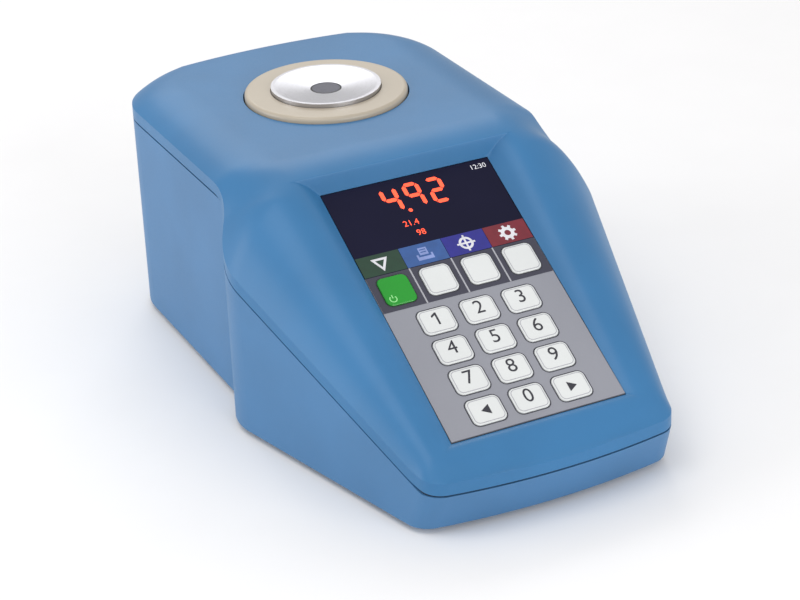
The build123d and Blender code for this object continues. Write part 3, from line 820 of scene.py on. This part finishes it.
def segment_digit(digit, x, y, width, height, bar):
    """The lit bars of a seven-segment numeral, each with pointed ends."""
    lit = {"4": "bcfg", "9": "abcfg", "2": "abdeg"}[digit]
    half, gap = bar / 2, bar * 0.12
    top, mid, low = y + height / 2 - half, y, y - height / 2 + half
    left, right = x - width / 2 + half, x + width / 2 - half

    def lying(cy):
        a, b = left + gap, right - gap
        upper = [(a, cy), (a + half, cy + half), (b - half, cy + half)]
        return upper + [(b, cy), (b - half, cy - half), (a + half, cy - half)]

    def standing(cx, c0, c1):
        a, b = c0 + gap, c1 - gap
        right_side = [(cx, a), (cx + half, a + half), (cx + half, b - half)]
        return right_side + [(cx, b), (cx - half, b - half), (cx - half, a + half)]

    bars = {
        "a": lying(top),
        "g": lying(mid),
        "d": lying(low),
        "f": standing(left, mid, top),
        "b": standing(right, mid, top),
        "e": standing(left, low, mid),
        "c": standing(right, low, mid),
    }
    return [bars[name] for name in lit]


def soft_strip():
    """The darker strip behind the soft keys, with the pale lines between them."""
    margin, foot, line_width = 0.1, 2.6, 0.7
    opening_gap, opening_round = 0.6, 3.1
    half = panel_width / 2 - margin
    low = soft_key_y - soft_key_height / 2 - foot
    openings = []
    for name, x, y, w, h in key_places()[:soft_key_count]:
        openings.append(rounded(x, y, w + opening_gap, h + opening_gap, opening_round))
    strip_shape = (square(-half, half, low, display_bottom), *openings)
    flat_print("soft_band", [strip_shape], print_height, ink_grey)
    lines = []
    for i in range(1, soft_key_count):
        x = (i - soft_key_count / 2) * soft_key_pitch
        lines.append(square(x - line_width / 2, x + line_width / 2, low, display_bottom))
    flat_print("soft_lines", lines, print_height + print_step, ink_pale)


def key_outlines():
    """The thin dark line round each key."""
    outer_gap, outer_round = 1.2, 3.4
    inner_gap, inner_round = 0.5, 3.05
    rings = []
    for name, x, y, w, h in key_places():
        outer = rounded(x, y, w + outer_gap, h + outer_gap, outer_round)
        inner = rounded(x, y, w + inner_gap, h + inner_gap, inner_round)
        rings.append((outer, inner))
    flat_print("numeral_key_outlines", rings[soft_key_count:], print_height, outline_grey)
    flat_print("soft_key_outlines", rings[:soft_key_count], print_height + print_step, ink_dark)


def key_rims():
    """The grey line just inside the edge of each pale key."""
    outer_inset, outer_round = 1.3, 2.3
    inner_inset, inner_round = 1.9, 2.0
    for name, x, y, w, h in key_places()[1:]:
        outer = rounded(x, y, w - outer_inset, h - outer_inset, outer_round)
        inner = rounded(x, y, w - inner_inset, h - inner_inset, inner_round)
        flat_print(name + "_rim", [(outer, inner)], cap_print_height, ink_pale, name + "_cap")


def key_legends():
    """The numeral or arrow on each key of the numeric block. The numeral 1 is drawn with its flag."""
    numeral_rise, numeral_size = 0.9, 9.4
    flag = [(0.1, 4.0), (-1.9, 2.7), (-1.9, 1.7), (-0.1, 2.7)]
    stem = [(-0.1, -2.2), (0.8, -2.2), (0.8, 4.0)]
    arrow = [(2.3, 0), (-1.7, 2.4), (-1.7, -2.4)]
    for name, x, y, w, h in key_places()[soft_key_count:]:
        mark = name[4:]
        body = name + "_cap"
        if mark == "1":
            flat_print("numeral_1", [shifted(flag + stem, x, y)], cap_print_height, ink_dark, body)
        elif mark in ("left", "right"):
            side = -1 if mark == "left" else 1
            outline = [(side * px, py) for px, py in arrow]
            flat_print(f"arrow_{mark}", [shifted(outline, x, y)], cap_print_height, ink_dark, body)
        else:
            place = (x, y + numeral_rise)
            letters(f"numeral_{mark}", mark, *place, numeral_size, cap_print_height, ink_dark, body)


def power_mark():
    """The open ring and bar on the green key."""
    from_key_x, from_key_y = -3.6, -4.2
    name, key_x, key_y, w, h = key_places()[0]
    x, y = key_x + from_key_x, key_y + from_key_y
    outer_radius, inner_radius, bar_width = 1.75, 1.30, 0.48
    opening_start, opening_end, steps = 125, 415, 26
    outer = circle(x, y, outer_radius, steps, opening_start, opening_end)
    inner = circle(x, y, inner_radius, steps, opening_start, opening_end)
    bar = square(x - bar_width / 2, x + bar_width / 2, y + 0.4, y + 2.1)
    flat_print("power_mark", [outer + inner[::-1], bar], cap_print_height, mark_green, "key_power_cap")


def triangle_icon(x, y):
    big = [(-3.9, 3.1), (3.9, 3.1), (0, -3.9)]
    small = [(-2.1, 2.0), (2.1, 2.0), (0, -1.7)]
    flat_print("icon_triangle", [(shifted(big, x, y), shifted(small, x, y))], icon_height, icon_white)


def printer_icon(x, y):
    """A sheet with two lines on it, in a tray."""
    sheet = [square(-2.0, 2.0, -0.6, 3.2), square(-1.4, 1.4, 1.9, 2.4), square(-1.4, 1.4, 0.6, 1.1)]
    tray_half = [(3.8, -3.2), (3.8, -0.2), (2.9, -0.2), (2.9, -1.5)]
    tray = tray_half + [(-px, py) for px, py in reversed(tray_half)]
    shapes = [tuple(shifted(loop, x, y) for loop in sheet), shifted(tray, x, y)]
    flat_print("icon_printer", shapes, icon_height, icon_lilac)


def target_icon(x, y):
    """A ring with a cross through it."""
    reach, half = 4.3, 0.45
    ring = (circle(x, y, 3.3), circle(x, y, 2.2))
    upright = square(x - half, x + half, y - reach, y + reach)
    left_arm = square(x - reach, x - half, y - half, y + half)
    right_arm = square(x + half, x + reach, y - half, y + half)
    flat_print("icon_target", [ring, upright, left_arm, right_arm], icon_height, icon_white)


def gear_icon(x, y):
    teeth, root, tip, bore = 8, 3.1, 4.2, 1.45
    outline = []
    for i in range(teeth):
        for share, radius in ((0.0, root), (0.10, tip), (0.46, tip), (0.56, root)):
            a = 2 * math.pi * (i + share) / teeth
            outline.append((x + radius * math.cos(a), y + radius * math.sin(a)))
    flat_print("icon_gear", [(outline, circle(x, y, bore))], icon_height, icon_white)


def display_tabs():
    """The four coloured tabs at the foot of the display, and then the icon on each."""
    side_margin, foot_margin, icon_rise = 0.1, 0.3, 5.6
    foot, top = display_bottom + foot_margin, display_bottom + tab_height
    tabs = (
        ("tab_green", tab_green, triangle_icon),
        ("tab_blue", tab_blue, printer_icon),
        ("tab_deep", tab_deep, target_icon),
        ("tab_red", tab_red, gear_icon),
    )
    for i, (name, look, icon) in enumerate(tabs):
        left = (i - len(tabs) / 2) * tab_width
        tab = square(left + side_margin, left + tab_width - side_margin, foot, top)
        flat_print(name, [tab], print_height, look)
    for i, (name, look, icon) in enumerate(tabs):
        middle = (i + 0.5 - len(tabs) / 2) * tab_width
        icon(middle, display_bottom + icon_rise)


def display_reading():
    """The large reading in lit bars, two small readings under it, and the clock."""
    digit_y, digit_width, digit_height, bar = 64.8, 8.0, 14.2, 1.9
    small_size, clock_size = 4.3, 3.6
    shapes = []
    for digit, x in (("4", -11.4), ("9", -0.4), ("2", 10.6)):
        shapes += segment_digit(digit, x, digit_y, digit_width, digit_height, bar)
    shapes.append(circle(-5.6, 57.6, bar / 2, 12))
    flat_print("display_digits", shapes, print_height, digit_red)
    letters("reading_upper", "21.4", -8.4, 51.0, small_size, print_height, digit_red)
    letters("reading_lower", "98", -6.2, 45.2, small_size, print_height, digit_red)
    letters("clock", "12:30", 34.0, 71.9, clock_size, print_height, clock_white)


soft_strip()
key_outlines()
key_rims()
key_legends()
power_mark()
display_tabs()
display_reading()


# Floor, camera and light


def pale_floor():
    """A wide plain floor."""
    material = moulded("floor_white", (0.86, 0.86, 0.87), rough=0.7, vary=0.005)
    size, cells = 3000.0, 8
    row = cells + 1
    points, faces = [], []
    for j in range(row):
        for i in range(row):
            points.append((size * (i / cells - 0.5), size * (j / cells - 0.5), 0))
    for j in range(cells):
        for i in range(cells):
            first = j * row + i
            faces.append((first, first + 1, first + row + 1, first + row))
    make_object("floor", points, faces, material, None)


def photo_camera():
    """The camera at the photograph's viewing angle. Metres and radians; lens and sensor in millimetres."""
    spot = Vector((-0.4028, -0.8454, 0.5016))
    yaw, pitch, roll = -0.4455, 0.4634, -0.0409
    lens, sensor_width = 104.6, 36.0
    back = Vector((math.sin(yaw) * math.cos(pitch), -math.cos(yaw) * math.cos(pitch), math.sin(pitch)))
    right = Vector((math.cos(yaw), math.sin(yaw), 0))
    up = back.cross(right)
    right_rolled = right * math.cos(roll) + up * math.sin(roll)
    up_rolled = up * math.cos(roll) - right * math.sin(roll)
    turn = Matrix((right_rolled, up_rolled, back)).transposed()
    data = bpy.data.cameras.new("photo_camera")
    data.lens = lens
    data.sensor_width = sensor_width
    data.clip_start = 0.05
    camera = bpy.data.objects.new("photo_camera", data)
    camera.matrix_world = Matrix.Translation(spot) @ turn.to_4x4()
    bpy.context.scene.collection.objects.link(camera)
    bpy.context.scene.camera = camera


def soft_light(name, spot, target, size, power):
    """A rectangular lamp turned towards its target."""
    data = bpy.data.lights.new(name, "AREA")
    data.shape = "RECTANGLE"
    data.size, data.size_y = size
    data.energy = power
    lamp = bpy.data.objects.new(name, data)
    lamp.location = spot
    lamp.rotation_euler = (Vector(target) - Vector(spot)).to_track_quat("-Z", "Y").to_euler()
    bpy.context.scene.collection.objects.link(lamp)


def pale_room():
    """Even pale light from all sides."""
    world = bpy.data.worlds.new("pale_room")
    world.use_nodes = True
    background = world.node_tree.nodes["Background"]
    background.inputs["Color"].default_value = (1.0, 0.99, 0.98, 1)
    background.inputs["Strength"].default_value = 0.70
    bpy.context.scene.world = world


pale_floor()
photo_camera()
soft_light("key_light", (-0.6, -0.2, 1.4), (0, 0, 0.05), (0.8, 0.8), 5.0)
soft_light("side_light", (-1.5, 0.5, 0.45), (0, 0, 0.05), (0.9, 0.9), 9.0)
soft_light("fill_light", (0.35, -1.5, 0.55), (0, 0, 0.05), (1.2, 0.8), 11.0)
soft_light("back_light", (0.3, 1.2, 1.0), (0, 0.1, 0.1), (1.0, 0.6), 5.0)
pale_room()
bpy.context.scene.view_settings.view_transform = "Standard"
